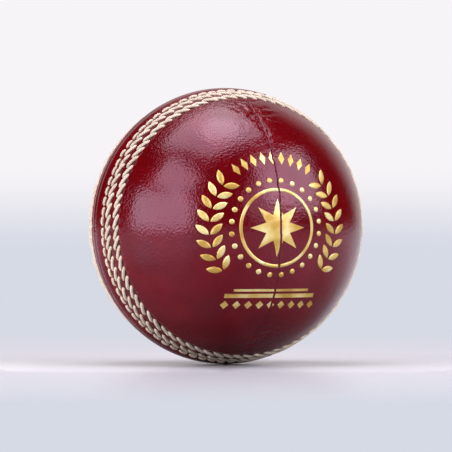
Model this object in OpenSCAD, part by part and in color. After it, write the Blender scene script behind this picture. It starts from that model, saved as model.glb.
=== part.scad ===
// Four-piece cricket ball: wound cork core, leather quarters, six stitched rows, foil stamps.
// Millimetres. The origin is the middle of the ball and +Z is up.
// The join between the two half covers stands upright in the XZ plane, so the front half faces -Y.

/* [Ball] */
// diameter over the smooth leather, away from the stitched band
ball_d = 72; // [70:0.2:73]
// thickness of the cover leather
leather_t = 3.5; // [3:0.1:4]
// gap between the two half covers at the join
join_gap = 0.1; // [0.05:0.05:0.3]

/* [Stitched band] */
// thickness of the seam thread
thread_d = 1.1; // [0.9:0.05:1.15]
// stitches in each outer row and each middle row
strap_stitches = 78; // [72:1:80]
// stitches in each closing row
closing_stitches = 82; // [74:1:84]
// length of an outer or middle stitch between its rounded ends
strap_stitch_len = 2.7; // [2.3:0.1:2.9]
// slant of the outer and middle stitches to their row, in degrees
strap_slant = 32; // [28:1:36]
// length of a closing stitch between its rounded ends
closing_stitch_len = 1.25; // [0.9:0.05:1.4]
// distance along the leather from the join to the outer row
outer_row_at = 10.7; // [10.3:0.1:11.6]
// distance along the leather from the join to the middle row
middle_row_at = 6.7; // [6.5:0.1:7]
// distance along the leather from the join to the closing row
closing_row_at = 4; // [3.8:0.1:4.2]
// height of the outer and middle stitches above the smooth leather
strap_rise = 0.45; // [0.3:0.05:0.7]
// height of the closing stitches above the smooth leather
closing_rise = 0.2; // [0.1:0.05:0.4]
// height of the padded leather beside the join above the smooth leather
join_welt_rise = 0.6; // [0.5:0.05:0.9]
// height of the leather roll between the outer and middle rows
row_welt_rise = 0.2; // [0.1:0.05:0.4]
// free space round a stitch in its channel and between neighbours
stitch_gap = 0.06; // [0.04:0.01:0.1]

/* [Quarter seams] */
// how far the front quarter seam passes from the middle of its face
front_seam_x = 2.8; // [0:0.2:3.6]
// gap between the two quarters of a half cover
quarter_gap = 0.1; // [0.05:0.05:0.3]
// depth of the groove that shows where the quarters meet
quarter_groove = 0.3; // [0.2:0.05:0.5]
// width of the leather patch behind a quarter seam
patch_w = 14; // [10:0.5:18]
// thickness of the leather patch behind a quarter seam
patch_t = 0.8; // [0.6:0.1:1]
// how far the patch reaches from the middle of the face, in degrees
patch_reach = 64; // [50:1:66]
// thickness of the hidden thread of a quarter seam
hidden_thread_d = 0.6; // [0.4:0.05:0.7]
// length of a hidden stitch between its rounded ends
hidden_stitch_len = 3.4; // [2.6:0.1:4]
// stitches in each quarter seam
hidden_stitches = 25; // [19:2:31]
// free space round the patch and the hidden thread in their pockets
patch_fit = 0.1; // [0.05:0.05:0.2]

/* [Core] */
// edge of the cork cube at the middle
nucleus_w = 20; // [16:0.5:21]
// diameter across the rounded corners of the cork cube
nucleus_d = 28; // [24:0.5:29]
// diameter of the first yarn winding
first_winding_d = 33; // [31:0.5:36]
// thickness of a layer of cork strips
cork_t = 1.4; // [1:0.1:1.8]
// cork strips in each layer
cork_strips = 6; // [5:1:8]
// gap between neighbouring cork strips
cork_gap = 0.5; // [0.3:0.1:0.8]
// how near the cork strips come to their pole, in degrees
cork_pole = 12; // [8:1:16]
// free space between one layer of the core and the next
layer_gap = 0.05; // [0.03:0.01:0.08]

/* [Foil] */
// thickness of the gold foil on the leather
foil_t = 0.12; // [0.08:0.02:0.2]
// how far the front stamp lies from the middle of its face
front_stamp_x = 2; // [-3:0.5:3]
// width of the front stamp
front_stamp_w = 42; // [34:1:44]
// width of the rear stamp
rear_stamp_w = 35; // [28:1:40]

/* [Hidden] */
$fn = 72;

leather_red = [0.5, 0.04, 0.05];
flesh_tan = [0.72, 0.5, 0.36];
thread_cream = [0.88, 0.8, 0.66];
yarn_wool = [0.82, 0.78, 0.7];
cork_brown = [0.7, 0.52, 0.34];
foil_gold = [0.86, 0.7, 0.32];

ball_r = ball_d / 2;
flesh_r = ball_r - leather_t;
core_r = flesh_r - layer_gap;
big = 2 * ball_d;                       // larger than anything that it cuts
mm_turn = 180 / (PI * ball_r);          // degrees of the face in a millimetre of leather

// row angles, measured from the join towards the middle of a face
outer_at = outer_row_at * mm_turn;
middle_at = middle_row_at * mm_turn;
closing_at = closing_row_at * mm_turn;

// stitches lie on the leather, each turned at least enough to pass its neighbour
strap_line_r = ball_r + strap_rise - thread_d / 2;
closing_line_r = ball_r + closing_rise - thread_d / 2;
outer_pitch = 2 * PI * strap_line_r * cos(outer_at) / strap_stitches;
middle_pitch = 2 * PI * strap_line_r * cos(middle_at) / strap_stitches;
outer_slant = max(strap_slant, asin((thread_d + stitch_gap) / outer_pitch));
middle_slant = max(strap_slant, asin((thread_d + stitch_gap) / middle_pitch));
closing_slant = 6;

// channels that the rows lie in
strap_half_w = (strap_stitch_len * sin(outer_slant) + thread_d) / 2 + stitch_gap;
closing_half_w = (closing_stitch_len * sin(closing_slant) + thread_d) / 2 + stitch_gap;
strap_floor_r = strap_line_r - thread_d / 2 - stitch_gap;
closing_floor_r = closing_line_r - thread_d / 2 - stitch_gap;
welt_start = closing_at - closing_half_w * mm_turn;
welt_back = -0.25 * welt_start;         // the roll beside the join starts past it, which leaves a valley
row_welt_in = middle_at + strap_half_w * mm_turn;
row_welt_out = outer_at - strap_half_w * mm_turn;

// quarter seam pieces, from the flesh side outwards
front_seam_turn = asin(front_seam_x / ball_r);
pocket_end = 3 * patch_fit;
groove_reach = 90 - outer_at - strap_half_w * mm_turn + 0.2;
patch_out_r = flesh_r + patch_t;
patch_pocket_r = patch_out_r + layer_gap;
hidden_line_r = patch_pocket_r + hidden_thread_d / 2 + patch_fit;
hidden_pocket_r = hidden_line_r + hidden_thread_d / 2 + patch_fit;
hidden_half_w = (hidden_stitch_len + hidden_thread_d) / 2 + patch_fit;
hidden_reach = patch_reach - 4;

// core layers, from the middle outwards
first_winding_r = first_winding_d / 2;
winding_t = (core_r - first_winding_r - 4 * cork_t - 8 * layer_gap) / 4;
layer_step = cork_t + winding_t + 2 * layer_gap;

// widths that the art of the stamps is drawn at
front_art_w = 40;
rear_art_w = 35;

// turns the seam axis from Z to the front, which faces -Y
module upright() {
    rotate([90, 0, 0])
        children();
}

// the rear half is the front half seen in a mirror at the join
module rear_half() {
    mirror([0, 0, 1])
        children();
}

module wedge(from, to) {
    polygon([[0, 0], [big * cos(from), big * sin(from)], [big * cos(to), big * sin(to)]]);
}

module ring(in_r, out_r) {
    difference() {
        circle(out_r);
        circle(in_r);
    }
}

module channel(at, half_w, floor_r) {
    intersection() {
        wedge(at - half_w * mm_turn, at + half_w * mm_turn);
        ring(floor_r, ball_r + 2 * thread_d);
    }
}

// roll of leather that rises between two angles and meets the smooth cover at both
module welt(from, to, rise) {
    half = (to - from) / mm_turn / 2;
    roll_r = (half * half + rise * rise) / (2 * rise);
    rotate((from + to) / 2)
        translate([ball_r + rise - roll_r, 0])
            circle(roll_r);
}

// half cover cut through its seam axis: the cover, its rolls and the channels of the rows
module cover_section() {
    difference() {
        intersection() {
            union() {
                circle(ball_r);
                welt(welt_back, welt_start, join_welt_rise);
                welt(row_welt_in, row_welt_out, row_welt_rise);
            }
            translate([0, join_gap / 2])
                square([big, big]);
        }
        circle(flesh_r);
        channel(closing_at, closing_half_w, closing_floor_r);
        channel(middle_at, strap_half_w, strap_floor_r);
        channel(outer_at, strap_half_w, strap_floor_r);
    }
}

// turns a profile about the X axis, along a great circle over the middle of the face
module over_face(reach) {
    rotate([-reach, 0, 0])
        rotate([90, 0, 90])
            rotate_extrude(angle = 2 * reach, start = 90)
                children();
}

module band_section(in_r, out_r, half_w) {
    intersection() {
        ring(in_r, out_r);
        translate([0, -half_w])
            square([big, 2 * half_w]);
    }
}

// the quarter of a half cover on the +X side of its seam, which may pass beside the middle of the face
module quarter(seam_turn = 0) {
    difference() {
        rotate_extrude()
            cover_section();
        rotate([0, seam_turn, 0]) {
            translate([quarter_gap / 2 - big, -big / 2, -big / 2])
                cube(big);
            over_face(groove_reach)
                translate([ball_r, 0])
                    rotate(45)
                        square(quarter_groove * sqrt(2), center = true);
            over_face(patch_reach + pocket_end)
                band_section(flesh_r - pocket_end, patch_pocket_r, patch_w / 2 + patch_fit);
            over_face(hidden_reach + 2)
                band_section(flesh_r, hidden_pocket_r, hidden_half_w);
        }
    }
}

module quarter_patch() {
    over_face(patch_reach)
        band_section(flesh_r, patch_out_r, patch_w / 2);
}

// thread with rounded ends, along Y
module stitch(len, d) {
    rotate([90, 0, 0])
        rotate_extrude()
            intersection() {
                union() {
                    translate([0, len / 2])
                        circle(d / 2);
                    square([d, len], center = true);
                    translate([0, -len / 2])
                        circle(d / 2);
                }
                translate([0, -big / 2])
                    square([big, big]);
            }
}

module quarter_thread() {
    step = 2 * hidden_reach / (hidden_stitches - 1);
    for (i = [0 : hidden_stitches - 1])
        rotate([i * step - hidden_reach, 0, 0])
            translate([0, 0, hidden_line_r])
                rotate([0, 0, 90])
                    stitch(hidden_stitch_len, hidden_thread_d);
}

module stitch_row(count, at, line_r, len, slant) {
    for (i = [0 : count - 1])
        rotate([0, 0, (i + 0.5) * 360 / count])
            rotate([0, -at, 0])
                translate([line_r, 0, 0])
                    rotate([-slant, 0, 0])
                        stitch(len, thread_d);
}

module outer_row() {
    stitch_row(strap_stitches, outer_at, strap_line_r, strap_stitch_len, outer_slant);
}

module middle_row() {
    stitch_row(strap_stitches, middle_at, strap_line_r, strap_stitch_len, middle_slant);
}

module closing_row() {
    stitch_row(closing_stitches, closing_at, closing_line_r, closing_stitch_len, closing_slant);
}

module yarn_shell(layer) {
    in_r = first_winding_r + (layer - 1) * layer_step - winding_t;
    difference() {
        sphere(in_r + winding_t);
        sphere(in_r);
    }
}

// cork strips side by side round an axis; each layer is laid across the one below
module cork_layer(layer) {
    in_r = first_winding_r + (layer - 1) * layer_step + layer_gap;
    bare = cork_gap * 180 / (PI * in_r);
    rotate([0, layer % 2 * 90, 0])
        for (i = [0 : cork_strips - 1])
            rotate_extrude(angle = 360 / cork_strips - bare, start = i * 360 / cork_strips)
                band_section(in_r, in_r + cork_t, in_r * cos(cork_pole));
}

module star(points, out_r, in_r) {
    polygon([
        for (i = [0 : 2 * points - 1])
            (i % 2 == 0 ? out_r : in_r) * [sin(i * 180 / points), cos(i * 180 / points)]
    ]);
}

module leaf(len, w) {
    bow_r = (len * len + w * w) / (4 * w);
    intersection() {
        translate([bow_r - w / 2, 0])
            circle(bow_r);
        translate([w / 2 - bow_r, 0])
            circle(bow_r);
    }
}

module diamond(w, h) {
    polygon([[w / 2, 0], [0, h / 2], [-w / 2, 0], [0, -h / 2]]);
}

module bar(x, y, w, h) {
    translate([x - w / 2, y - h / 2])
        square([w, h]);
}

// star in a beaded ring between two sprigs, with diamonds above and rules below
module front_art() {
    star(8, 7.2, 3.4);
    ring(9.1, 9.9);
    for (i = [0 : 23])
        rotate(7.5 + i * 15)
            translate([11.8, 0])
                circle(0.65);
    for (side = [0, 1], i = [0 : 7])
        mirror([side, 0])
            rotate(-36 + i * 11)
                translate([16.8, 0]) {
                    translate([-1.5, 0.5])
                        rotate(48)
                            leaf(3.8, 1.6);
                    translate([1.7, 0.5])
                        rotate(-48)
                            leaf(3.8, 1.6);
                }
    for (i = [-4 : 4])
        rotate(i * 8.4)
            translate([0, 17.4])
                diamond(1.6, 3.2);
    bar(0, -15.6, 20, 0.6);
    bar(0, -17, 24, 1);
    for (i = [-4 : 4])
        translate([i * 2.9, -19.3])
            diamond(2, 2);
}

// wicket in a double ring with rays round it
module rear_art() {
    for (i = [-1 : 1])
        bar(i * 2.6, -1.2, 1, 11);
    bar(-1.5, 5.1, 2.4, 0.7);
    bar(1.5, 5.1, 2.4, 0.7);
    for (side = [-1, 1], i = [0 : 2])
        translate([side * 6.6, 4 - i * 3.6])
            diamond(1.8, 2.4);
    ring(11, 11.9);
    ring(12.7, 13.1);
    for (i = [0 : 19])
        rotate(9 + i * 18)
            translate([0, 15.9])
                leaf(3.6, 1.5);
}

module pressed_foil() {
    intersection() {
        rotate([90, 0, 0])
            difference() {
                sphere(ball_r + foil_t);
                sphere(ball_r);
            }
        translate([0, 0, flesh_r / 2])
            linear_extrude(height = ball_r)
                children();
    }
}

module cork_nucleus() {
    color(cork_brown)
        intersection() {
            cube(nucleus_w, center = true);
            sphere(nucleus_d / 2);
        }
}

module yarn_winding_1() {
    color(yarn_wool)
        difference() {
            sphere(first_winding_r);
            intersection() {
                cube(nucleus_w + 2 * layer_gap, center = true);
                sphere(nucleus_d / 2 + layer_gap);
            }
        }
}

module yarn_winding_2() {
    color(yarn_wool)
        yarn_shell(2);
}

module yarn_winding_3() {
    color(yarn_wool)
        yarn_shell(3);
}

module yarn_winding_4() {
    color(yarn_wool)
        yarn_shell(4);
}

module yarn_winding_5() {
    color(yarn_wool)
        yarn_shell(5);
}

module cork_layer_1() {
    color(cork_brown)
        cork_layer(1);
}

module cork_layer_2() {
    color(cork_brown)
        cork_layer(2);
}

module cork_layer_3() {
    color(cork_brown)
        cork_layer(3);
}

module cork_layer_4() {
    color(cork_brown)
        cork_layer(4);
}

module front_quarter_patch() {
    color(flesh_tan)
        upright()
            rotate([0, front_seam_turn, 0])
                quarter_patch();
}

module rear_quarter_patch() {
    color(flesh_tan)
        upright()
            rear_half()
                rotate([0, 0, 90])
                    quarter_patch();
}

module front_quarter_thread() {
    color(thread_cream)
        upright()
            rotate([0, front_seam_turn, 0])
                quarter_thread();
}

module rear_quarter_thread() {
    color(thread_cream)
        upright()
            rear_half()
                rotate([0, 0, 90])
                    quarter_thread();
}

module front_left_quarter() {
    color(leather_red)
        upright()
            mirror([1, 0, 0])
                quarter(-front_seam_turn);
}

module front_right_quarter() {
    color(leather_red)
        upright()
            quarter(front_seam_turn);
}

module rear_upper_quarter() {
    color(leather_red)
        upright()
            rear_half()
                rotate([0, 0, 90])
                    quarter();
}

module rear_lower_quarter() {
    color(leather_red)
        upright()
            rear_half()
                rotate([0, 0, -90])
                    quarter();
}

module front_outer_row() {
    color(thread_cream)
        upright()
            outer_row();
}

module front_middle_row() {
    color(thread_cream)
        upright()
            middle_row();
}

module front_closing_row() {
    color(thread_cream)
        upright()
            closing_row();
}

module rear_outer_row() {
    color(thread_cream)
        upright()
            rear_half()
                outer_row();
}

module rear_middle_row() {
    color(thread_cream)
        upright()
            rear_half()
                middle_row();
}

module rear_closing_row() {
    color(thread_cream)
        upright()
            rear_half()
                closing_row();
}

module front_foil() {
    color(foil_gold)
        upright()
            difference() {
                pressed_foil()
                    translate([front_stamp_x, 0])
                        scale(front_stamp_w / front_art_w)
                            front_art();
                rotate([0, front_seam_turn, 0])
                    cube([2 * quarter_groove, big, big], center = true);
            }
}

module rear_foil() {
    color(foil_gold)
        upright()
            rear_half()
                difference() {
                    pressed_foil()
                        scale(rear_stamp_w / rear_art_w)
                            rear_art();
                    cube([big, 2 * quarter_groove, big], center = true);
                }
}

cork_nucleus();
yarn_winding_1();
cork_layer_1();
yarn_winding_2();
cork_layer_2();
yarn_winding_3();
cork_layer_3();
yarn_winding_4();
cork_layer_4();
yarn_winding_5();
front_quarter_patch();
rear_quarter_patch();
front_quarter_thread();
rear_quarter_thread();
front_left_quarter();
front_right_quarter();
rear_upper_quarter();
rear_lower_quarter();
front_outer_row();
front_middle_row();
front_closing_row();
rear_outer_row();
rear_middle_row();
rear_closing_row();
front_foil();
rear_foil();
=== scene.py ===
import math
from functools import partial
import bmesh
import bpy
import numpy as np
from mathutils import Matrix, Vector


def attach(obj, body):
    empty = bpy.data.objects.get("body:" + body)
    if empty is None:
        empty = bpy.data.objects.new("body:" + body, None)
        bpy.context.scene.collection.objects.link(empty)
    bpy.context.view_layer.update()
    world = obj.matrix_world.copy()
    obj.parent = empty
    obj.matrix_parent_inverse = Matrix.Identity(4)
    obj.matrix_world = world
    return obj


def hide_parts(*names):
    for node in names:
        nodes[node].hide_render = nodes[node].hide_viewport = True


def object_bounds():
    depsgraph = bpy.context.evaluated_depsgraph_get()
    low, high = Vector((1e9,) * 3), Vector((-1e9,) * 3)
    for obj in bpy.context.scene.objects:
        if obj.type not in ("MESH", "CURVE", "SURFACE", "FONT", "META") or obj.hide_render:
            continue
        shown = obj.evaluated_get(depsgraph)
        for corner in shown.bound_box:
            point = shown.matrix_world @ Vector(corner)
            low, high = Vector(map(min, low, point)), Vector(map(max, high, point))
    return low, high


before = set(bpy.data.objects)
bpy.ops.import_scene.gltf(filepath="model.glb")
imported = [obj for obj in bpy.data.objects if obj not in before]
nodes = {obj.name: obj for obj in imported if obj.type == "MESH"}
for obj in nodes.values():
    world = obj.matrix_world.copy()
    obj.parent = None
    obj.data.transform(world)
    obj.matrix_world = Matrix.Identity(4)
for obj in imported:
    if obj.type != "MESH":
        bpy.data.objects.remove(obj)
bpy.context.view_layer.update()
print("frame loaded,", len(nodes), "nodes")

mm = 0.001
ball = {
    "radius": 36.0,            # all in millimetres, as in the solids
    "leather": 3.5,
    "joinGap": 0.08,           # between the two half covers
    "quarterGap": 0.03,        # between the quarters, which are sewn tight from behind
    "outerAt": 10.7,           # each row's distance from the join, over the leather
    "middleAt": 6.7,
    "closingAt": 4.0,
    "frontSeamOff": 2.8,       # how far the front quarter seam passes from the middle of its face
    "strapStitches": 78,       # in each outer and middle row
    "closingStitches": 82,
    "strapSlant": 32.0,        # degrees to the row
    "closingSlant": 6.0,
}
frontSeamTurn = math.asin(ball["frontSeamOff"] / ball["radius"])


def fromHex(text):  # sRGB hex to linear
    part = [int(text[i:i + 2], 16) / 255 for i in (0, 2, 4)]
    return tuple(c / 12.92 if c <= 0.04045 else ((c + 0.055) / 1.055) ** 2.4 for c in part) + (1.0,)


def addNode(tree, kind, *values, stops=None, **settings):
    # kind is the node's type, with its operation after a space; the values go to its live sockets in order,
    # or by name from a dictionary, and a node or socket given as a value is linked
    kind, _, operation = kind.partition(" ")
    made = tree.nodes.new(kind)
    if operation:
        made.operation = operation
    for name, value in settings.items():
        setattr(made, name, value)
    live = [socket for socket in made.inputs if socket.enabled]
    named = values[0] if values and isinstance(values[0], dict) else dict(enumerate(values))
    for key, value in named.items():
        socket = live[key] if isinstance(key, int) else next(s for s in live if s.name == key)
        if isinstance(value, bpy.types.Node):
            value = next(s for s in value.outputs if s.enabled)
        if isinstance(value, bpy.types.NodeSocket):
            tree.links.new(value, socket)
        else:
            socket.default_value = value
    if stops:
        points = made.color_ramp.elements
        while len(points) < len(stops):
            points.new(0.5)
        for point, (place, shade) in zip(points, stops):
            point.position, point.color = place, fromHex(shade)
    return made


def newMaterial(name):
    made = bpy.data.materials.new(name)
    made.use_nodes = True
    made.node_tree.nodes.clear()
    return made, partial(addNode, made.node_tree)


def newTree(name, outputs, inputs):  # an input is given by its type, or by a default number
    tree = bpy.data.node_groups.new(name, "GeometryNodeTree")
    for label, kind in outputs.items():
        tree.interface.new_socket(label, in_out="OUTPUT", socket_type="NodeSocket" + kind)
    for label, value in inputs.items():
        kind = value if isinstance(value, str) else "Int" if isinstance(value, int) else "Float"
        socket = tree.interface.new_socket(label, in_out="INPUT", socket_type="NodeSocket" + kind)
        if kind is not value:
            socket.default_value = value
    return tree, partial(addNode, tree), addNode(tree, "NodeGroupInput").outputs


def runTree(piece, tree, values):  # leaves the tree's result in the piece as a plain mesh
    live = piece.modifiers.new(tree.name, "NODES")
    live.node_group = tree
    sockets = {item.name: item.identifier for item in tree.interface.items_tree if item.in_out == "INPUT"}
    for label, value in values.items():
        live[sockets[label]] = value
    bpy.context.view_layer.update()
    shape = bpy.data.meshes.new_from_object(piece.evaluated_get(bpy.context.evaluated_depsgraph_get()))
    piece.modifiers.remove(live)
    piece.data = shape
    shape.name = piece.name


def newPiece(name, mesh=None):
    piece = bpy.data.objects.new(name, mesh or bpy.data.meshes.new(name))
    bpy.context.scene.collection.objects.link(piece)
    return piece


def finishPiece(piece, node):
    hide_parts(node)
    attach(piece, "root")
    print(piece.name, len(piece.data.polygons), "faces")


def upright(points):  # from the seam's own axes, where it goes round Z, to the ball's, which faces -Y
    return np.stack([points[:, 0], -points[:, 2], points[:, 1]], axis=1)


# Leather. The four quarters are shells of a smooth ball, and one tree gives them the real cover's relief.
cover = {                      # millimetres, under the names of the tree's inputs
    "Hole Depth": 0.1,         # where the thread goes in
    "Hole Size": 0.75,
    "Fold": 0.06,              # how deep the stitches pull the leather beside them
    "Crack Depth": 0.2,        # the quarter seam
    "Crack Width": 0.24,
    "Tight Below": 0.7,        # how much tighter the front's seam is drawn in its lower part, as a share
    "Shoulder": 0.045,         # how far the leather rounds off towards the seam
    "Shoulder Width": 2.0,
    "Waver": 1.0,              # how far the seam strays, as a share of its noise
    "Crease": 0.21,
    "Crease Reach": 9.0,
    "Swell": 0.14,             # broad and small unevenness away from the rows
    "Ripple": 0.04,
    "Seed": 4,
}
bareFrom, bareTo = 11.5, 16.0  # where the stitched band gives way to the open face
needleHoles = [                # row, its count and slant, and how far apart the two holes of a stitch are
    ("outerAt", "strapStitches", "strapSlant", 3.6),
    ("middleAt", "strapStitches", "strapSlant", 3.6),
    ("closingAt", "closingStitches", "closingSlant", 1.5),
]
foldLines = [                  # distance from the join, width, count, and depth as a share of the fold's
    (8.7, 1.1, "strapStitches", 1.5),
    (12.0, 1.1, "strapStitches", 3.6),
    (2.9, 0.9, "closingStitches", 0.6),
]
valleyRange = (-0.3, 0.02)     # heights of a full valley and of none
unevenness = {"Swell": 11.0, "Ripple": 3.0}    # how far apart its waves are
quarterSeam = {                # noises are in waves to the millimetre
    "drift": 0.2,
    "kinks": 0.9,
    "kinkShare": 0.55,
    "driftReach": 3.5,         # how far beside the seam the leather strays with it
    "gape": 0.43,
    "gapeFrom": (0.36, 0.62),  # this part of the noise opens the seam
    "gapeTo": (0.1, 1.5),      # from this share of its depth to that
    "tighter": (4.0, -12.0),   # the heights where its tighter part starts and is full
    "creases": 0.45,
    "creaseStretch": 0.24,     # creases are drawn out across the seam
    "creaseWidth": 0.09,
    "creaseFrom": 0.3,
    "creaseFade": (20.0, 35.0),    # distance from the join
    "creaseLeast": 0.15,
    "darkWidth": 0.26,         # painted shade along the seam's crack, added to the valley
    "dark": 0.75,
}
profileTop = 1.0               # the profiles' heights stay within this, up and down
beyondMiddleRow = [
    (7.4, -0.16), (7.9, -0.08), (8.7, -0.03), (9.4, -0.08), (9.9, -0.16), (10.7, -0.2), (11.3, -0.14),
    (11.8, -0.02), (12.4, 0.04), (13.2, 0.03), (14.5, 0.0), (16.0, 0.0)]
coverProfiles = {              # distance from the join, and height over the smooth ball
    "front": [(0, 0.54), (0.4, 0.6), (0.9, 0.61), (1.6, 0.52), (2.4, 0.34), (3.2, 0.1), (4.0, -0.04),
              (4.6, -0.04), (5.2, -0.05), (5.9, -0.14), (6.7, -0.2), *beyondMiddleRow],
    "rear": [(0, 0.54), (0.4, 0.62), (1.0, 0.68), (1.7, 0.67), (2.4, 0.56), (3.0, 0.2), (3.5, -0.2),
             (4.0, -0.4), (4.4, -0.2), (4.8, 0.08), (5.3, 0.17), (5.8, 0.06), (6.3, -0.1), (6.7, -0.16),
             *beyondMiddleRow],
}


def needleHoleTree():  # dips at both ends of each stitch of one row
    tree, node, given = newTree("needleHoles", {"Dip": "Float"}, dict.fromkeys(
        ["Along", "Turn", "Radius", "At", "Stitches", "Length", "Slant", "Size"], "Float"))
    ring = node("ShaderNodeMath COSINE", node("ShaderNodeMath DIVIDE", given["At"], given["Radius"]))
    ring = node("ShaderNodeMath MULTIPLY", ring, given["Radius"])
    pitch = node("ShaderNodeMath MULTIPLY", ring, 2 * math.pi)
    pitch = node("ShaderNodeMath DIVIDE", pitch, given["Stitches"])
    share = node("ShaderNodeMath MULTIPLY", given["Turn"], given["Stitches"])
    share = node("ShaderNodeMath DIVIDE", share, 2 * math.pi)
    share = node("ShaderNodeMath SUBTRACT", share, 0.5)
    reach = node("ShaderNodeMath MULTIPLY", given["Length"], 0.5)
    aside = node("ShaderNodeMath MULTIPLY", node("ShaderNodeMath SINE", given["Slant"]), reach)
    ahead = node("ShaderNodeMath MULTIPLY", node("ShaderNodeMath COSINE", given["Slant"]), reach)
    ahead = node("ShaderNodeMath DIVIDE", ahead, pitch)
    fromRow = node("ShaderNodeMath SUBTRACT", given["Along"], given["At"])
    dips = []
    for end in (-1.0, 1.0):
        across = node("ShaderNodeMath MULTIPLY_ADD", aside, end, fromRow)
        off = node("ShaderNodeMath MULTIPLY_ADD", ahead, -end, share)
        off = node("ShaderNodeMath SUBTRACT", off, node("ShaderNodeMath ROUND", off))
        off = node("ShaderNodeMath MULTIPLY", off, pitch)
        far = node("ShaderNodeVectorMath LENGTH", node("ShaderNodeCombineXYZ", across, off))
        dips.append(node("ShaderNodeMapRange", far, 0.0, given["Size"], 1.0, 0.0,
                         interpolation_type="SMOOTHERSTEP"))
    node("NodeGroupOutput", node("ShaderNodeMath ADD", *dips))
    return tree


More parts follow.
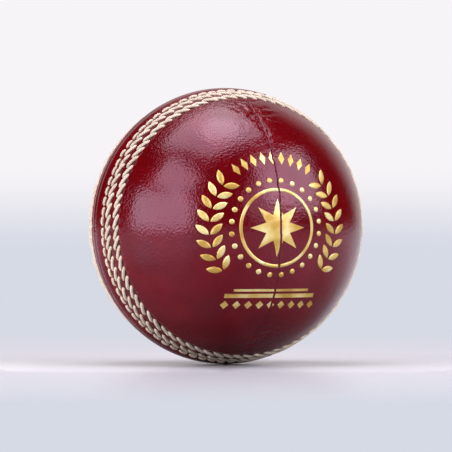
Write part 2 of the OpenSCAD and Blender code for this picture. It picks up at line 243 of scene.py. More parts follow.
def coverTree():
    tree, node, given = newTree("stitchedCover", {"Geometry": "Geometry"}, {
        "Geometry": "Geometry", "Radius": ball["radius"], **cover, "Surface": "Material"})
    # each seed moves the noises by a step that is far beyond their size
    seed = node("ShaderNodeCombineXYZ", node("ShaderNodeMath MULTIPLY", given["Seed"], 31.7))
    spot = node("ShaderNodeVectorMath SCALE", node("GeometryNodeInputPosition"), 1 / mm)
    outward = node("ShaderNodeVectorMath NORMALIZE", spot)
    part = node("ShaderNodeSeparateXYZ", outward).outputs
    along = node("ShaderNodeMath ARCSINE", node("ShaderNodeMath ABSOLUTE", part["Y"]))
    along = node("ShaderNodeMath MULTIPLY", along, given["Radius"])
    turn = node("ShaderNodeMath ARCTAN2", part["Z"], part["X"])
    # the front's quarter seam lies across X and a little turned, the rear's across Z
    rear = node("ShaderNodeMath GREATER_THAN", part["Y"], 0.0)
    axis = node("ShaderNodeMix", rear, (math.cos(frontSeamTurn), math.sin(frontSeamTurn), 0.0),
                (0.0, 0.0, 1.0), data_type="VECTOR")
    offSeam = node("ShaderNodeVectorMath DOT_PRODUCT", spot, axis)
    side = node("ShaderNodeMath ABSOLUTE", offSeam)
    onSeam = node("ShaderNodeVectorMath SUBTRACT", spot, node("ShaderNodeVectorMath SCALE", axis, offSeam))
    onSeam = node("ShaderNodeVectorMath ADD", onSeam, seed)
    beyondRows = node("ShaderNodeMapRange", along, bareFrom, bareTo, 0.0, 1.0,
                      interpolation_type="SMOOTHERSTEP")

    curves = []
    for profile in coverProfiles.values():
        curve = node("ShaderNodeFloatCurve", {"Value": node("ShaderNodeMath DIVIDE", along, bareTo)})
        line = curve.mapping.curves[0]
        places = [(at / bareTo, (high / profileTop + 1) / 2) for at, high in profile]
        line.points[0].location, line.points[1].location = places[0], places[-1]
        for place in places[1:-1]:
            line.points.new(*place)
        curve.mapping.update()
        curves.append(curve)
    height = node("ShaderNodeMix", rear, *curves, data_type="FLOAT")
    height = node("ShaderNodeMath MULTIPLY_ADD", height, 2 * profileTop, -profileTop)
    holes = needleHoleTree()
    for at, count, slant, length in needleHoles:
        dip = node("GeometryNodeGroup", {
            "Along": along, "Turn": turn, "Radius": given["Radius"], "At": ball[at],
            "Stitches": ball[count], "Length": length, "Size": given["Hole Size"],
            "Slant": math.radians(ball[slant])}, node_tree=holes)
        dip = node("ShaderNodeMath MULTIPLY", dip, given["Hole Depth"])
        height = node("ShaderNodeMath SUBTRACT", height, dip)
    for at, width, count, share in foldLines:
        wave = node("ShaderNodeMath COSINE", node("ShaderNodeMath MULTIPLY", turn, float(ball[count])))
        wave = node("ShaderNodeMapRange", wave, -1.0, 1.0, -1.0, 0.0)
        near = node("ShaderNodeMath ABSOLUTE", node("ShaderNodeMath SUBTRACT", along, at))
        near = node("ShaderNodeMapRange", near, 0.0, width, share, 0.0, interpolation_type="SMOOTHERSTEP")
        wave = node("ShaderNodeMath MULTIPLY", wave, near)
        height = node("ShaderNodeMath MULTIPLY_ADD", wave, given["Fold"], height)
    # how much of a valley the place is, for the materials: the leather is painted darker there as shade, and
    # rougher, and the foil wears bare there
    valley = node("ShaderNodeMapRange", height, *valleyRange, 1.0, 0.0, interpolation_type="SMOOTHERSTEP")

    # the leather isn't quite even over the wound core
    for label, size in unevenness.items():
        wave = node("ShaderNodeTexNoise", {"Vector": node("ShaderNodeVectorMath ADD", spot, seed),
                                           "Scale": 1 / size, "Detail": 1.0})
        wave = node("ShaderNodeMath MULTIPLY", node("ShaderNodeMath SUBTRACT", wave, 0.5), beyondRows)
        height = node("ShaderNodeMath MULTIPLY_ADD", wave, given[label], height)

    # the quarter seam wavers, gapes and closes, and creases run out from it, most of all near the stitches
    drift = node("ShaderNodeTexNoise", {"Vector": onSeam, "Scale": quarterSeam["drift"]})
    drift = node("ShaderNodeMath SUBTRACT", drift, 0.5)
    kinks = node("ShaderNodeTexNoise", {"Vector": onSeam, "Scale": quarterSeam["kinks"]})
    kinks = node("ShaderNodeMath SUBTRACT", kinks, 0.5)
    drift = node("ShaderNodeMath MULTIPLY_ADD", kinks, quarterSeam["kinkShare"], drift)
    near = node("ShaderNodeMapRange", side, 0.0, quarterSeam["driftReach"], 1.0, 0.0,
                interpolation_type="SMOOTHERSTEP")
    drift = node("ShaderNodeMath MULTIPLY", node("ShaderNodeMath MULTIPLY", drift, near), beyondRows)
    drift = node("ShaderNodeMath MULTIPLY", drift, given["Waver"])
    gape = node("ShaderNodeTexNoise", {"Vector": onSeam, "Scale": quarterSeam["gape"]})
    gape = node("ShaderNodeMapRange", gape, *quarterSeam["gapeFrom"], *quarterSeam["gapeTo"])
    level = node("ShaderNodeSeparateXYZ", spot).outputs["Z"]
    tight = node("ShaderNodeMapRange", level, *quarterSeam["tighter"], 0.0, given["Tight Below"],
                 interpolation_type="SMOOTHSTEP")
    tight = node("ShaderNodeMath SUBTRACT", 1.0, tight)
    tight = node("ShaderNodeMath MAXIMUM", tight, rear)
    gape = node("ShaderNodeMath MULTIPLY", gape, tight)
    crack = node("ShaderNodeMapRange", side, 0.0, given["Crack Width"], given["Crack Depth"], 0.0,
                 interpolation_type="SMOOTHERSTEP")
    shoulder = node("ShaderNodeMapRange", side, 0.0, given["Shoulder Width"], given["Shoulder"], 0.0,
                    interpolation_type="SMOOTHERSTEP")
    crack = node("ShaderNodeMath MULTIPLY", node("ShaderNodeMath ADD", crack, shoulder), gape)
    height = node("ShaderNodeMath SUBTRACT", height, crack)
    drawn = node("ShaderNodeMath MULTIPLY", offSeam, quarterSeam["creaseStretch"])
    drawn = node("ShaderNodeVectorMath ADD", onSeam, node("ShaderNodeVectorMath SCALE", axis, drawn))
    lines = node("ShaderNodeTexNoise", {"Vector": drawn, "Scale": quarterSeam["creases"], "Detail": 3.0})
    lines = node("ShaderNodeMath ABSOLUTE", node("ShaderNodeMath SUBTRACT", lines, 0.5))
    lines = node("ShaderNodeMapRange", lines, 0.0, quarterSeam["creaseWidth"], 1.0, 0.0,
                 interpolation_type="SMOOTHERSTEP")
    near = node("ShaderNodeMapRange", side, quarterSeam["creaseFrom"], given["Crease Reach"], 1.0, 0.0,
                interpolation_type="SMOOTHERSTEP")
    high = node("ShaderNodeMapRange", along, *quarterSeam["creaseFade"], 1.0, quarterSeam["creaseLeast"],
                interpolation_type="SMOOTHERSTEP")
    near = node("ShaderNodeMath MULTIPLY", node("ShaderNodeMath MULTIPLY", near, high), beyondRows)
    lines = node("ShaderNodeMath MULTIPLY", node("ShaderNodeMath MULTIPLY", lines, near), given["Crease"])
    height = node("ShaderNodeMath SUBTRACT", height, lines)
    # painted shade: the crack counts as a valley, so the leather is darker along it
    inCrack = node("ShaderNodeMapRange", side, 0.0, quarterSeam["darkWidth"], quarterSeam["dark"], 0.0,
                   interpolation_type="SMOOTHERSTEP")
    inCrack = node("ShaderNodeMath MULTIPLY", inCrack, gape)
    valley = node("ShaderNodeMath MAXIMUM", valley, inCrack)

    # only the outer side moves, the flesh side stays on the core
    outside = node("ShaderNodeMath GREATER_THAN", node("ShaderNodeVectorMath LENGTH", spot),
                   node("ShaderNodeMath SUBTRACT", given["Radius"], 1.0))
    outside = node("ShaderNodeMath MULTIPLY", outside, mm)
    move = node("ShaderNodeVectorMath ADD", node("ShaderNodeVectorMath SCALE", outward, height),
                node("ShaderNodeVectorMath SCALE", axis, drift))
    move = node("ShaderNodeVectorMath SCALE", move, outside)
    toned = node("GeometryNodeStoreNamedAttribute", {"Geometry": given["Geometry"], "Name": "valley",
                                                     "Value": valley}, data_type="FLOAT", domain="POINT")
    moved = node("GeometryNodeSetPosition", {"Geometry": toned, "Offset": move})
    real = node("GeometryNodeRealizeInstances", moved)
    node("NodeGroupOutput", node("GeometryNodeSetMaterial", {"Geometry": real, "Material": given["Surface"]}))
    return tree


def lacqueredLeather():
    # cowhide, aniline-dyed, pressed and lacquered: a deep clear red under a soft gloss, broken by the grain
    made, node = newMaterial("lacqueredRedCowhide")
    place = node("ShaderNodeTexCoord").outputs["Object"]
    cloud = node("ShaderNodeTexNoise", {"Vector": place, "Scale": 110.0, "Detail": 4.0})    # 9 mm clouds
    fleck = node("ShaderNodeTexNoise", {"Vector": place, "Scale": 1700.0, "Detail": 2.0})  # 0.6 mm
    pebble = node("ShaderNodeTexVoronoi", {"Vector": place, "Scale": 1900.0}, feature="SMOOTH_F1")
    valley = node("ShaderNodeAttribute", attribute_name="valley").outputs["Fac"]
    dyeAndShade = node("ShaderNodeValToRGB", cloud, stops=[(0.3, "520207"), (0.55, "5C0308"), (0.75, "660409")])
    dyeAndShade = node("ShaderNodeMix", node("ShaderNodeMath MULTIPLY", fleck, 0.25), dyeAndShade, fromHex("4E0206"),
               data_type="RGBA")
    # painted shade: the leather darkens towards 300103 in the valleys beside the stitches and along the
    # quarter seam
    dyeAndShade = node("ShaderNodeMix", node("ShaderNodeMath MULTIPLY", valley, 0.6), dyeAndShade, fromHex("300103"),
               data_type="RGBA")
    height = node("ShaderNodeMath MULTIPLY_ADD", pebble, 0.6, fleck)
    grain = node("ShaderNodeBump", {"Height": height, "Strength": 1.0, "Distance": 0.00007})
    lacquer = node("ShaderNodeBump", {"Height": height, "Strength": 1.0, "Distance": 0.00004})
    dull = node("ShaderNodeMath MULTIPLY_ADD", valley, 0.45, 0.15)
    skin = node("ShaderNodeBsdfPrincipled", {
        "Base Color": dyeAndShade, "Roughness": dull, "IOR": 1.45, "Specular Tint": fromHex("FFC4F0"),
        "Normal": grain, "Coat Weight": 0.35, "Coat Roughness": 0.05, "Coat IOR": 1.45,
        "Coat Normal": lacquer})
    node("ShaderNodeOutputMaterial", {"Surface": skin})
    return made


def spread(first, last, step):
    return np.linspace(first, last, max(2, int(math.ceil((last - first) / step)) + 1))[1:]


def quarterGrid(rows, turns):  # faces of a grid that closes in one point at the pole, and its border lines
    count, tip = len(turns), len(rows) * len(turns)
    faces = [(r * count + c, r * count + c + 1, (r + 1) * count + c + 1, (r + 1) * count + c)
             for r in range(len(rows) - 1) for c in range(count - 1)]
    faces += [(tip - count + c, tip - count + c + 1, tip) for c in range(count - 1)]
    up = [r * count for r in range(len(rows))]
    return faces, up + [tip] + [first + count - 1 for first in reversed(up)], list(range(count))


def onBall(rows, turns, radius):
    angle, turn = np.repeat(rows / ball["radius"], len(turns)), np.tile(turns, len(rows))
    points = np.stack([np.cos(angle) * np.cos(turn), np.cos(angle) * np.sin(turn), np.sin(angle)], axis=1)
    return np.vstack([points, [[0, 0, 1]]]) * radius


def zipLines(outer, inner):  # triangles between two lines of points that run the same way
    faces, i, j = [], 0, 0
    while i < len(outer) - 1 or j < len(inner) - 1:
        outerBehind = (i + 1) * (len(inner) - 1) <= (j + 1) * (len(outer) - 1)
        if j == len(inner) - 1 or (i < len(outer) - 1 and outerBehind):
            faces.append((outer[i], outer[i + 1], inner[j]))
            i += 1
        else:
            faces.append((outer[i], inner[j + 1], inner[j]))
            j += 1
    return faces


shell = {                      # millimetres over the leather
    "closeLines": [0, 0.08, 0.17, 0.28, 0.41, 0.58, 0.78, 1.02, 1.3, 1.6],    # beside the quarter seam
    "openFrom": 1.9,
    "openLines": 373,
    "rows": [(0, 12.0, 0.15), (12.0, 15.0, 0.3), (15.0, 33.5, 0.5), (33.5, 56.2, 0.3)],    # from, to, step
    "backRows": (0, 55.5, 28),
    "backLines": 73,
    "leanReach": 30,           # how far from the seam its lean is felt
    "sharpFrom": 50,           # degrees
}


def quarterShell(name, place, lean):  # fine outside, coarse inside, with cut faces half a gap off the seams
    half = math.pi * ball["radius"]
    close = np.array(shell["closeLines"])
    turns = np.linspace(shell["openFrom"], half - shell["openFrom"], shell["openLines"])
    turns = np.concatenate([close, turns, half - close[::-1]]) / ball["radius"] - math.pi / 2
    rows = np.concatenate([[0], *(spread(*part) for part in shell["rows"])])
    points = onBall(rows, turns, ball["radius"])
    faces, cut, join = quarterGrid(rows, turns)
    backRows = np.linspace(*shell["backRows"])
    backTurns = np.linspace(-math.pi / 2, math.pi / 2, shell["backLines"])
    back = onBall(backRows, backTurns, ball["radius"] - ball["leather"])
    backFaces, backCut, backJoin = quarterGrid(backRows, backTurns)
    used = len(points)
    faces += [tuple(used + k for k in face) for face in backFaces]
    faces += zipLines(cut, [used + k for k in backCut]) + zipLines(join, [used + k for k in backJoin])
    points = np.vstack([points, back])
    points[:, 0] = np.hypot(points[:, 0], ball["quarterGap"] / 2)
    points[:, 2] = np.hypot(points[:, 2], ball["joinGap"] / 2)
    size = np.linalg.norm(points, axis=1, keepdims=True)
    points = place(points)
    # the seam leans over the face and takes the points beside it along
    felt = np.clip(1 - np.abs(points[:, 0]) / shell["leanReach"], 0, 1) ** 2
    points[:, 0] += points[:, 2] * math.tan(lean) * felt
    points *= size / np.linalg.norm(points, axis=1, keepdims=True)
    mesh = bpy.data.meshes.new(name)
    mesh.from_pydata((upright(points) * mm).tolist(), [], faces)
    work = bmesh.new()
    work.from_mesh(mesh)
    bmesh.ops.recalc_face_normals(work, faces=work.faces)
    work.to_mesh(mesh)
    work.free()
    return newPiece(name, mesh)


quarters = {
    "frontRightLeather": ("front_right_quarter", lambda p: p.copy()),
    "frontLeftLeather": ("front_left_quarter", lambda p: p * (-1, 1, 1)),
    "rearUpperLeather": ("rear_upper_quarter", lambda p: np.stack([-p[:, 1], p[:, 0], -p[:, 2]], axis=1)),
    "rearLowerLeather": ("rear_lower_quarter", lambda p: np.stack([p[:, 1], -p[:, 0], -p[:, 2]], axis=1)),
}
redLeather = lacqueredLeather()
reliefTree = coverTree()
for name, (node, place) in quarters.items():
    piece = quarterShell(name, place, frontSeamTurn if node.startswith("front") else 0.0)
    runTree(piece, reliefTree, {**cover, "Surface": redLeather})
    piece.data.shade_smooth()
    piece.data.set_sharp_from_angle(angle=math.radians(shell["sharpFrom"]))
    finishPiece(piece, node)


# Stitches
stitch = {
    "strapLength": 3.8,        # over the leather and down into both holes
    "closingLength": 1.7,
    "strapWidth": 1.05,
    "closingWidth": 1.05,
    "strapLift": 0.0,          # the thread's middle over the smooth ball
    "closingLift": 0.08,
    "rearClosingSink": 0.38,   # the rear's closing row lies deeper, behind its swollen edge
    "strapPlunge": 0.55,       # how deep the ends go
    "closingPlunge": 0.35,
    "late": 5.0,               # the power by which a stitch falls towards its ends
    "bend": 0.02,              # sideways, as a share of the thread
    "thinner": 0.25,           # at the ends
    "thinLate": 6.0,
    "flat": 0.72,              # a thread drawn tight is lower than it is wide
    "cords": 3,                # that a thread is laid from
    "twist": 1.7,              # the length in which they go round once
    "points": 10,              # along a stitch
    "sides": 8,
    # how unlike one another the stitches of a row lie: along the row, across it, in slant and in height
    "uneven": (0.0056, 0.0036, 0.08, 0.0022),
}
rowsOfStitches = {             # node, row, seed
    "frontOuterStitches": ("front_outer_row", "outer", 3),
    "frontMiddleStitches": ("front_middle_row", "middle", 5),
    "frontClosingStitches": ("front_closing_row", "closing", 7),
    "rearOuterStitches": ("rear_outer_row", "outer", 11),
    "rearMiddleStitches": ("rear_middle_row", "middle", 13),
    "rearClosingStitches": ("rear_closing_row", "closing", 17),
}


def stitchRowTree():  # a thread is swept along a bowed line, and set round the seam once for each stitch
    tree, node, given = newTree("stitchRow", {"Geometry": "Geometry"}, {
        "Geometry": "Geometry", "Stitches": "Int", "Ring Radius": "Float", "Row Angle": "Float",
        "Slant": "Float", "Length": "Float", "Thread": "Float", "Plunge": "Float", "Seed": "Int",
        "Surface": "Material"})
    half = node("ShaderNodeMath MULTIPLY", given["Length"], 0.5)
    start = node("ShaderNodeCombineXYZ", 0.0, node("ShaderNodeMath MULTIPLY", half, -1.0))
    line = node("GeometryNodeCurvePrimitiveLine", start, node("ShaderNodeCombineXYZ", 0.0, half))
    line = node("GeometryNodeResampleCurve", {"Curve": line, "Count": stitch["points"]})
    share = node("GeometryNodeSplineParameter").outputs["Factor"]
    centred = node("ShaderNodeMath MULTIPLY_ADD", share, 2.0, -1.0)
    away = node("ShaderNodeMath ABSOLUTE", centred)
    fall = node("ShaderNodeMath POWER", away, stitch["late"])
    fall = node("ShaderNodeMath MULTIPLY", fall, given["Plunge"])
    fall = node("ShaderNodeMath MULTIPLY", fall, -1.0)
    bend = node("ShaderNodeMath SINE", node("ShaderNodeMath MULTIPLY", centred, math.pi))
    sway = node("ShaderNodeMath MULTIPLY", given["Thread"], stitch["bend"])
    bend = node("ShaderNodeMath MULTIPLY", bend, sway)
    bow = node("ShaderNodeCombineXYZ", fall, 0.0, bend)
    line = node("GeometryNodeSetPosition", {"Geometry": line, "Offset": bow})
    thin = node("ShaderNodeMath POWER", away, stitch["thinLate"])
    thin = node("ShaderNodeMath MULTIPLY_ADD", thin, -stitch["thinner"], 1.0)
    line = node("GeometryNodeSetCurveRadius", {"Curve": line, "Radius": thin})
    reach = node("ShaderNodeMath MULTIPLY", centred, node("ShaderNodeMath MULTIPLY", half, 1 / mm))
    line = node("GeometryNodeStoreNamedAttribute", {"Geometry": line, "Name": "threadAlong", "Value": reach},
                data_type="FLOAT", domain="POINT")
    thick = node("ShaderNodeMath MULTIPLY", given["Thread"], 0.5)
    ring = node("GeometryNodeCurvePrimitiveCircle", stitch["sides"], thick)
    facing = node("ShaderNodeVectorMath NORMALIZE", node("GeometryNodeInputPosition"))
    ring = node("GeometryNodeStoreNamedAttribute", {"Geometry": ring, "Name": "threadRound", "Value": facing},
                data_type="FLOAT_VECTOR", domain="POINT")
    shape = node("GeometryNodeCurveToMesh", {"Curve": line, "Profile Curve": ring, "Fill Caps": True})
    lean = node("ShaderNodeCombineXYZ", node("ShaderNodeMath MULTIPLY", given["Slant"], -1.0))
    shape = node("GeometryNodeTransform", {"Geometry": shape, "Rotation": lean,
                                           "Scale": (stitch["flat"], 1.0, 1.0)})
    out = node("ShaderNodeCombineXYZ", given["Ring Radius"])
    shape = node("GeometryNodeTransform", {"Geometry": shape, "Translation": out})

    index = node("GeometryNodeInputIndex")
    uneven = []
    for salt, size in enumerate(stitch["uneven"]):
        lot = node("ShaderNodeMath MULTIPLY_ADD", given["Seed"], 7.0, float(salt))
        uneven.append(node("FunctionNodeRandomValue", {"Min": -size, "Max": size, "ID": index, "Seed": lot},
                           data_type="FLOAT"))
    turn = node("ShaderNodeMath MULTIPLY", node("ShaderNodeMath ADD", index, 0.5), 2 * math.pi)
    turn = node("ShaderNodeMath ADD", node("ShaderNodeMath DIVIDE", turn, given["Stitches"]), uneven[0])
    tip = node("ShaderNodeMath SUBTRACT", uneven[1], given["Row Angle"])
    size = node("ShaderNodeMath ADD", uneven[3], 1.0)
    placed = node("GeometryNodeInstanceOnPoints", {
        "Points": node("GeometryNodePoints", {"Count": given["Stitches"]}), "Instance": shape,
        "Rotation": node("ShaderNodeCombineXYZ", uneven[2], tip, turn), "Scale": size})
    tone = node("FunctionNodeRandomValue", {"Min": 0.0, "Max": 1.0, "ID": index, "Seed": given["Seed"]},
                data_type="FLOAT")
    placed = node("GeometryNodeStoreNamedAttribute", {
        "Geometry": placed, "Name": "threadTone", "Value": tone}, data_type="FLOAT", domain="INSTANCE")
    real = node("GeometryNodeRealizeInstances", placed)
    real = node("GeometryNodeSetShadeSmooth", real)
    node("NodeGroupOutput", node("GeometryNodeSetMaterial", {"Geometry": real, "Material": given["Surface"]}))
    return tree


def waxedLinen():
    # linen thread of three cords, bleached and waxed: matt cream, twisted, with a faint wax sheen
    made, node = newMaterial("waxedLinenThread")
    place = node("ShaderNodeTexCoord").outputs["Object"]
    around = node("ShaderNodeAttribute", attribute_name="threadRound").outputs["Vector"]
    around = node("ShaderNodeSeparateXYZ", around).outputs
    along = node("ShaderNodeAttribute", attribute_name="threadAlong").outputs["Fac"]
    angle = node("ShaderNodeMath ARCTAN2", around["Y"], around["X"])
    twist = node("ShaderNodeMath MULTIPLY_ADD", along, 2 * math.pi / stitch["twist"], angle)
    cords = node("ShaderNodeMath SINE", node("ShaderNodeMath MULTIPLY", twist, stitch["cords"] / 2))
    cords = node("ShaderNodeMath ABSOLUTE", cords)
    fibre = node("ShaderNodeTexNoise", {"Vector": place, "Scale": 5000.0, "Detail": 2.0})   # 0.2 mm
    soil = node("ShaderNodeTexNoise", {"Vector": place, "Scale": 400.0, "Detail": 2.0})
    own = node("ShaderNodeAttribute", attribute_name="threadTone").outputs["Fac"]
    own = node("ShaderNodeMath MULTIPLY_ADD", own, 0.3, node("ShaderNodeMath SUBTRACT", soil, 0.15))
    tone = node("ShaderNodeValToRGB", own, stops=[(0.25, "B7AB99"), (0.5, "C3B7A6"), (0.75, "CEC3B4")])
    # painted shade: a darker tan in the grooves between the cords
    groove = node("ShaderNodeMath MULTIPLY_ADD", cords, -0.3, 0.3)
    tone = node("ShaderNodeMix", groove, tone, fromHex("B59A76"), data_type="RGBA")
    high = node("ShaderNodeMath MULTIPLY_ADD", fibre, 0.4, cords)
    bump = node("ShaderNodeBump", {"Height": high, "Strength": 0.5, "Distance": 0.00006})
    skin = node("ShaderNodeBsdfPrincipled", {
        "Base Color": tone, "Roughness": 0.62, "IOR": 1.5, "Normal": bump, "Sheen Weight": 0.15,
        "Sheen Roughness": 0.5})
    node("ShaderNodeOutputMaterial", {"Surface": skin})
    return made


linen = waxedLinen()
rowTree = stitchRowTree()
for name, (node, row, seed) in rowsOfStitches.items():
    kind = "closing" if row == "closing" else "strap"
    at, count = ball[row + "At"], ball[kind + "Stitches"]
    lift = stitch[kind + "Lift"] - (stitch["rearClosingSink"] if name == "rearClosingStitches" else 0.0)
    piece = newPiece(name)
    runTree(piece, rowTree, {
        "Stitches": count, "Ring Radius": (ball["radius"] + lift) * mm,
        "Row Angle": at / ball["radius"], "Slant": math.radians(ball[kind + "Slant"]),
        "Length": stitch[kind + "Length"] * mm, "Thread": stitch[kind + "Width"] * mm,
        "Plunge": stitch[kind + "Plunge"] * mm, "Seed": seed, "Surface": linen})
    points = np.zeros(len(piece.data.vertices) * 3)
    piece.data.vertices.foreach_get("co", points)
    points = points.reshape(-1, 3)
    if node.startswith("rear"):
        points[:, 2] *= -1
        piece.data.flip_normals()
    piece.data.vertices.foreach_set("co", upright(points).ravel())
    piece.data.update()
    finishPiece(piece, node)


# Gold foil: the solids' own outlines, laid on the relief of the leather
foil = {
    "above": 0.03,             # its top and its underside over the leather
    "below": -0.05,
    "middle": 0.06,            # parts the solid's top from its underside
    "weld": 0.002,
    "edge": 0.9,               # longest edge, so that it can follow the leather
    "rounds": 5,               # of cutting long edges
}


def goldFoil():
    # hot-pressed foil: thin matt gold that breaks over the grain and lets the red through
    made, node = newMaterial("hotPressedGoldFoil")
    place = node("ShaderNodeTexCoord").outputs["Object"]
    rub = node("ShaderNodeTexNoise", {"Vector": place, "Scale": 1500.0, "Detail": 4.0, "Roughness": 0.65})
    cloud = node("ShaderNodeTexNoise", {"Vector": place, "Scale": 170.0, "Detail": 2.0})
    valley = node("ShaderNodeAttribute", attribute_name="valley").outputs["Fac"]
    worn = node("ShaderNodeMath MULTIPLY_ADD", cloud, 0.5, rub)
    worn = node("ShaderNodeMath MULTIPLY_ADD", valley, 0.5, worn)
    bare = node("ShaderNodeMapRange", worn, 0.96, 1.06, 0.0, 1.0)
    gold = node("ShaderNodeValToRGB", cloud, stops=[(0.38, "C09A48"), (0.5, "D8BC6C"), (0.62, "ECDC9C")])
    tone = node("ShaderNodeMix", bare, gold, fromHex("7A140E"), data_type="RGBA")
    metal = node("ShaderNodeMath MULTIPLY_ADD", bare, -0.5, 0.5)
    bump = node("ShaderNodeBump", {"Height": rub, "Strength": 0.6, "Distance": 0.00003})
    skin = node("ShaderNodeBsdfPrincipled", {"Base Color": tone, "Metallic": metal, "Roughness": 0.4,
                                             "Normal": bump})
    node("ShaderNodeOutputMaterial", {"Surface": skin})
    return made


gold = goldFoil()
for name, node in (("frontFoil", "front_foil"), ("rearFoil", "rear_foil")):
    work = bmesh.new()
    work.from_mesh(nodes[node].data)
    bmesh.ops.remove_doubles(work, verts=work.verts, dist=foil["weld"] * mm)
    for point in work.verts:
        high = foil["above"] if point.co.length > (ball["radius"] + foil["middle"]) * mm else foil["below"]
        point.co = point.co.normalized() * (ball["radius"] + high) * mm
    for _ in range(foil["rounds"]):
        long = [edge for edge in work.edges if edge.calc_length() > foil["edge"] * mm]
        if not long:
            break
        bmesh.ops.subdivide_edges(work, edges=long, cuts=1)
        bmesh.ops.triangulate(work, faces=[face for face in work.faces if len(face.verts) > 3])
    for point in work.verts:
        near = point.co.length / mm - ball["radius"]
        point.co = point.co.normalized() * (ball["radius"] + max(near, foil["below"])) * mm
    mesh = bpy.data.meshes.new(name)
    work.to_mesh(mesh)
    work.free()
    piece = newPiece(name, mesh)
    runTree(piece, reliefTree, {**cover, "Surface": gold})
    finishPiece(piece, node)


# Layers that only a cut ball shows
def cutCork():
    # natural cork, sawn: light brown granules with dark pores, dead matt
    made, node = newMaterial("sawnNaturalCork")
    place = node("ShaderNodeTexCoord").outputs["Object"]
    cells = node("ShaderNodeTexVoronoi", {"Vector": place, "Scale": 620.0})                  # 1.6 mm granules
    pores = node("ShaderNodeTexNoise", {"Vector": place, "Scale": 900.0, "Detail": 5.0})
    tone = node("ShaderNodeValToRGB", cells, stops=[(0.1, "C79A63"), (0.5, "B58752"), (0.9, "8A6038")])
    tone = node("ShaderNodeMix", node("ShaderNodeMapRange", pores, 0.58, 0.68), tone, fromHex("4E321C"),
                data_type="RGBA")
    bump = node("ShaderNodeBump", {"Height": pores, "Strength": 0.8, "Distance": 0.0002})
    skin = node("ShaderNodeBsdfPrincipled", {"Base Color": tone, "Roughness": 0.85, "Normal": bump})
    node("ShaderNodeOutputMaterial", {"Surface": skin})
    return made


def woundYarn():
    # worsted wool yarn wound tight in crossing turns: hairy, matt, off-white
    made, node = newMaterial("woundWorstedYarn")
    place = node("ShaderNodeTexCoord").outputs["Object"]
    turns = []
    for lean, spin in ((0.5, 0.3), (1.9, 1.2)):
        laid = node("ShaderNodeMapping", {"Vector": place, "Rotation": (lean, 0.0, spin)})
        turns.append(node("ShaderNodeTexWave", {"Vector": laid, "Scale": 170.0, "Distortion": 2.0,
                                                "Detail Scale": 3.0}).outputs["Fac"])       # 1.2 mm strands
    lot = node("ShaderNodeTexNoise", {"Vector": place, "Scale": 90.0, "Detail": 1.0})
    high = node("ShaderNodeMix", node("ShaderNodeMapRange", lot, 0.46, 0.54), *turns, data_type="FLOAT")
    # painted shade: darker in the low parts between the strands
    tone = node("ShaderNodeValToRGB", high, stops=[(0.1, "8E8068"), (0.5, "C9BDA2"), (0.9, "E2D8C0")])
    bump = node("ShaderNodeBump", {"Height": high, "Strength": 1.0, "Distance": 0.0003})
    skin = node("ShaderNodeBsdfPrincipled", {"Base Color": tone, "Roughness": 0.9, "Sheen Weight": 0.4,
                                             "Normal": bump})
    node("ShaderNodeOutputMaterial", {"Surface": skin})
    return made


def splitLeather():
    # undyed split leather: pale tan with a short nap
    made, node = newMaterial("undyedSplitLeather")
    place = node("ShaderNodeTexCoord").outputs["Object"]
    nap = node("ShaderNodeTexNoise", {"Vector": place, "Scale": 1400.0, "Detail": 5.0})      # 0.7 mm
    cloud = node("ShaderNodeTexNoise", {"Vector": place, "Scale": 120.0, "Detail": 3.0})
    tone = node("ShaderNodeValToRGB", cloud, stops=[(0.35, "B98A5E"), (0.65, "CFA378")])
    tone = node("ShaderNodeMix", node("ShaderNodeMath MULTIPLY", nap, 0.4), tone, fromHex("8F6540"),
                data_type="RGBA")
    bump = node("ShaderNodeBump", {"Height": nap, "Strength": 0.7, "Distance": 0.0001})
    skin = node("ShaderNodeBsdfPrincipled", {"Base Color": tone, "Roughness": 0.88, "Normal": bump})
    node("ShaderNodeOutputMaterial", {"Surface": skin})
    return made


inside = {"cork_": cutCork(), "yarn_": woundYarn(), "_patch": splitLeather(), "_quarter_thread": linen}
for key, material in inside.items():
    for node, piece in nodes.items():
        if key in node:
            piece.data.materials.clear()
            piece.data.materials.append(material)
print("inner layers dressed")


# Studio
studio = {
    "azimuth": -19.0,          # the camera's, in degrees from the front face
    "elevation": 0.8,
    "distance": 2.2,           # metres
    "share": 0.60,             # of the picture's width that the ball takes
    "backdrop": -12,           # elevation of the lit backdrop's opposite, in degrees
    "backdropEdge": (0.66, 0.95),    # cosines of the angle from its middle
    "backdropGlow": 0.7,
    "roomGlow": 0.25,
    "hazeTop": (-0.018, -0.006),     # the haze's upper and lower border, as the height of a direction
    "hazeFoot": (-0.05, -0.09),
    "floorSize": 3.0,
    "floorHaze": (0.07, 0.3),  # metres from the ball, where the painted glow begins and where it is full
    "floorEnd": (1.2, 2.7),
    "paintedShadowAcross": 4.0,         # how much more distance across counts in the painted shadow under the ball
    "paper": "F7F4F7",
    "haze": "D6DAE5",          # where the floor runs out of sight
}
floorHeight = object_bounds()[0].z


def backTo(azimuth, elevation):  # the way from the ball to something that stands there
    a, e = math.radians(azimuth), math.radians(elevation)
    return Vector((math.sin(a) * math.cos(e), -math.cos(a) * math.cos(e), math.sin(e)))


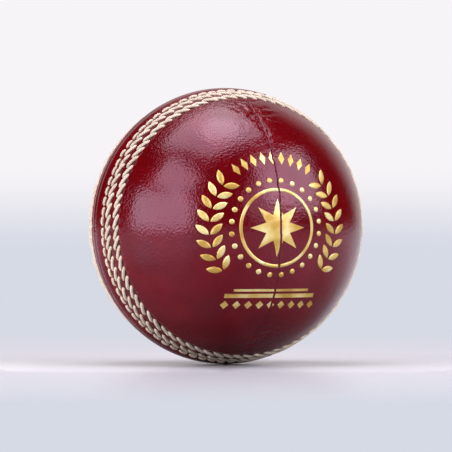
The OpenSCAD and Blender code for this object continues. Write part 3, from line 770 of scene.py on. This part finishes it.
def paleFloor():
    # matt pale board with a trace of satin, painted darker under the ball and when seen from above, glowing
    # with a painted haze further off, and out of sight where it gets far
    made, node = newMaterial("paleSatinBoard")
    place = node("ShaderNodeTexCoord").outputs["Object"]
    far = node("ShaderNodeVectorMath LENGTH", place)
    # painted shadow: the floor is darker under the ball, in a patch narrow across and long towards the camera
    aside = backTo(studio["azimuth"] + 90, 0) * studio["paintedShadowAcross"]
    aside = node("ShaderNodeMath ABSOLUTE", node("ShaderNodeVectorMath DOT_PRODUCT", place, tuple(aside)))
    under = node("ShaderNodeMath ADD", far, aside)
    fleck = node("ShaderNodeTexNoise", {"Vector": place, "Scale": 300.0, "Detail": 2.0})
    # painted shadow: dark at the ball's foot, paling to the board's grey within about 8 cm
    tone = node("ShaderNodeValToRGB", under, stops=[
        (0.022, "6E6864"), (0.045, "9C9AA0"), (0.08, "BCBEC6"), (0.45, "BCC0C8")])
    tone = node("ShaderNodeMix", node("ShaderNodeMath MULTIPLY", fleck, 0.04), tone, fromHex("8E8E96"),
                data_type="RGBA")
    # painted shade: paler at a grazing look than from above, so the ball's lower half reflects a dim floor
    graze = node("ShaderNodeLayerWeight", {"Blend": 0.5}).outputs["Facing"]
    graze = node("ShaderNodeMapRange", graze, 0.55, 0.95, 0.7, 0.0)
    tone = node("ShaderNodeMix", graze, tone, fromHex("3C3C42"), data_type="RGBA")
    skin = node("ShaderNodeBsdfPrincipled", {
        "Base Color": tone, "Roughness": 0.25, "Specular IOR Level": 0.5})
    # painted glow: further from the ball the floor shines in the haze colour by itself, lit by no lamp
    haze = node("ShaderNodeEmission", {"Color": fromHex(studio["haze"]), "Strength": 1.0})
    away = node("ShaderNodeMapRange", far, *studio["floorHaze"], 0.0, 1.0)
    skin = node("ShaderNodeMixShader", away, skin, haze)
    clear = node("ShaderNodeBsdfTransparent")
    gone = node("ShaderNodeMapRange", far, *studio["floorEnd"], 0.0, 1.0, interpolation_type="SMOOTHSTEP")
    node("ShaderNodeOutputMaterial", {"Surface": node("ShaderNodeMixShader", gone, skin, clear)})
    return made


work = bmesh.new()
bmesh.ops.create_circle(work, cap_ends=True, radius=studio["floorSize"], segments=96)
bmesh.ops.translate(work, verts=work.verts, vec=(0, 0, floorHeight))
floorMesh = bpy.data.meshes.new("floor")
work.to_mesh(floorMesh)
work.free()
floorMesh.materials.append(paleFloor())
newPiece("floor", floorMesh)

# shape, azimuth and elevation in degrees, distance, width and height in metres, radiance, roll, tint
softboxes = {
    "topBox": ("RECTANGLE", -125, 82, 0.9, 0.86, 0.8, 3.4, -38, "FAF4FB"),
    "topCore": ("ELLIPSE", -110, 87, 0.85, 0.42, 0.36, 2.6, 0, "FAF4FB"),
    "leftBoxLow": ("RECTANGLE", -77, 11, 1.0, 1.12, 0.5, 4.3, 0, "FAF4FB"),
    "leftBoxHigh": ("RECTANGLE", -72, 38, 1.0, 0.64, 0.42, 3.9, -16, "FAF4FB"),
    "rightBox": ("RECTANGLE", 47, 35, 1.0, 0.96, 0.8, 4.0, -12, "FAF4FB"),
    "rightBoxNear": ("ELLIPSE", 20, 20, 1.0, 0.9, 0.7, 1.1, 0, "FAF4FB"),
    "rightFill": ("ELLIPSE", 92, 2, 1.2, 0.8, 0.8, 2.4, 0, "FAF4FB"),
    "frontFloorFill": ("RECTANGLE", -19, -26, 0.075, 0.1, 0.05, 1.0, 0, "FAF4FB"),
    "leftFloorFill": ("RECTANGLE", -99, -26, 0.075, 0.1, 0.05, 2.6, 0, "FFF4E6"),
    "rightFloorFill": ("RECTANGLE", 61, -26, 0.075, 0.1, 0.05, 1.0, 0, "FFF4E6"),
}
for name, (shape, azimuth, elevation, distance, width, height, radiance, roll, tint) in softboxes.items():
    light = bpy.data.lights.new(name, "AREA")
    light.shape, light.size, light.size_y = shape, width, height
    light.energy = radiance * math.pi * width * height
    light.color = fromHex(tint)[:3]
    lamp = bpy.data.objects.new(name, light)
    bpy.context.scene.collection.objects.link(lamp)
    lamp.visible_glossy = lamp.visible_camera = not name.endswith("Fill")
    lamp.location = backTo(azimuth, elevation) * distance
    lamp.rotation_euler = (-lamp.location).to_track_quat("-Z", "Y").to_euler()
    lamp.rotation_euler.rotate_axis("Z", math.radians(roll))

world = bpy.data.worlds.new("paleRoom")
bpy.context.scene.world = world
world.use_nodes = True
world.node_tree.nodes.clear()
node = partial(addNode, world.node_tree)
away = node("ShaderNodeTexCoord").outputs["Generated"]
# a lit backdrop behind the ball, dark behind the camera
facing = node("ShaderNodeVectorMath DOT_PRODUCT", away, tuple(-backTo(studio["azimuth"], studio["backdrop"])))
glow = node("ShaderNodeMapRange", facing, *studio["backdropEdge"], 0.0, studio["backdropGlow"],
            interpolation_type="SMOOTHSTEP")
seenBy = node("ShaderNodeLightPath").outputs
glow = node("ShaderNodeMath MULTIPLY_ADD", seenBy["Is Diffuse Ray"], studio["roomGlow"], glow)
dim = node("ShaderNodeBackground", fromHex("F4EAEC"), glow)
# the camera sees white paper, with a grey haze where the floor ends
level = node("ShaderNodeSeparateXYZ", away).outputs["Z"]
above = node("ShaderNodeMapRange", level, *studio["hazeTop"], 1.0, 0.0, interpolation_type="SMOOTHSTEP")
below = node("ShaderNodeMapRange", level, *studio["hazeFoot"], 1.0, 0.0, interpolation_type="SMOOTHSTEP")
haze = node("ShaderNodeMath MULTIPLY", above, below)
paper = node("ShaderNodeMix", haze, fromHex(studio["paper"]), fromHex(studio["haze"]), data_type="RGBA")
paper = node("ShaderNodeBackground", paper, 1.0)
node("ShaderNodeOutputWorld", {"Surface": node("ShaderNodeMixShader", seenBy["Is Camera Ray"], dim, paper)})

lens = bpy.data.cameras.new("camera")
lens.sensor_width = 36
wide = 2 * math.asin(ball["radius"] * mm / studio["distance"])
lens.lens = lens.sensor_width / (2 * math.tan(wide / 2) / studio["share"])
lens.clip_start, lens.clip_end = 0.05, 20
camera = bpy.data.objects.new("camera", lens)
bpy.context.scene.collection.objects.link(camera)
camera.location = backTo(studio["azimuth"], studio["elevation"]) * studio["distance"]
camera.rotation_euler = (-camera.location).to_track_quat("-Z", "Y").to_euler()
bpy.context.scene.camera = camera
bpy.context.scene.view_settings.view_transform = "Standard"
print("studio set")

bpy.context.view_layer.update()
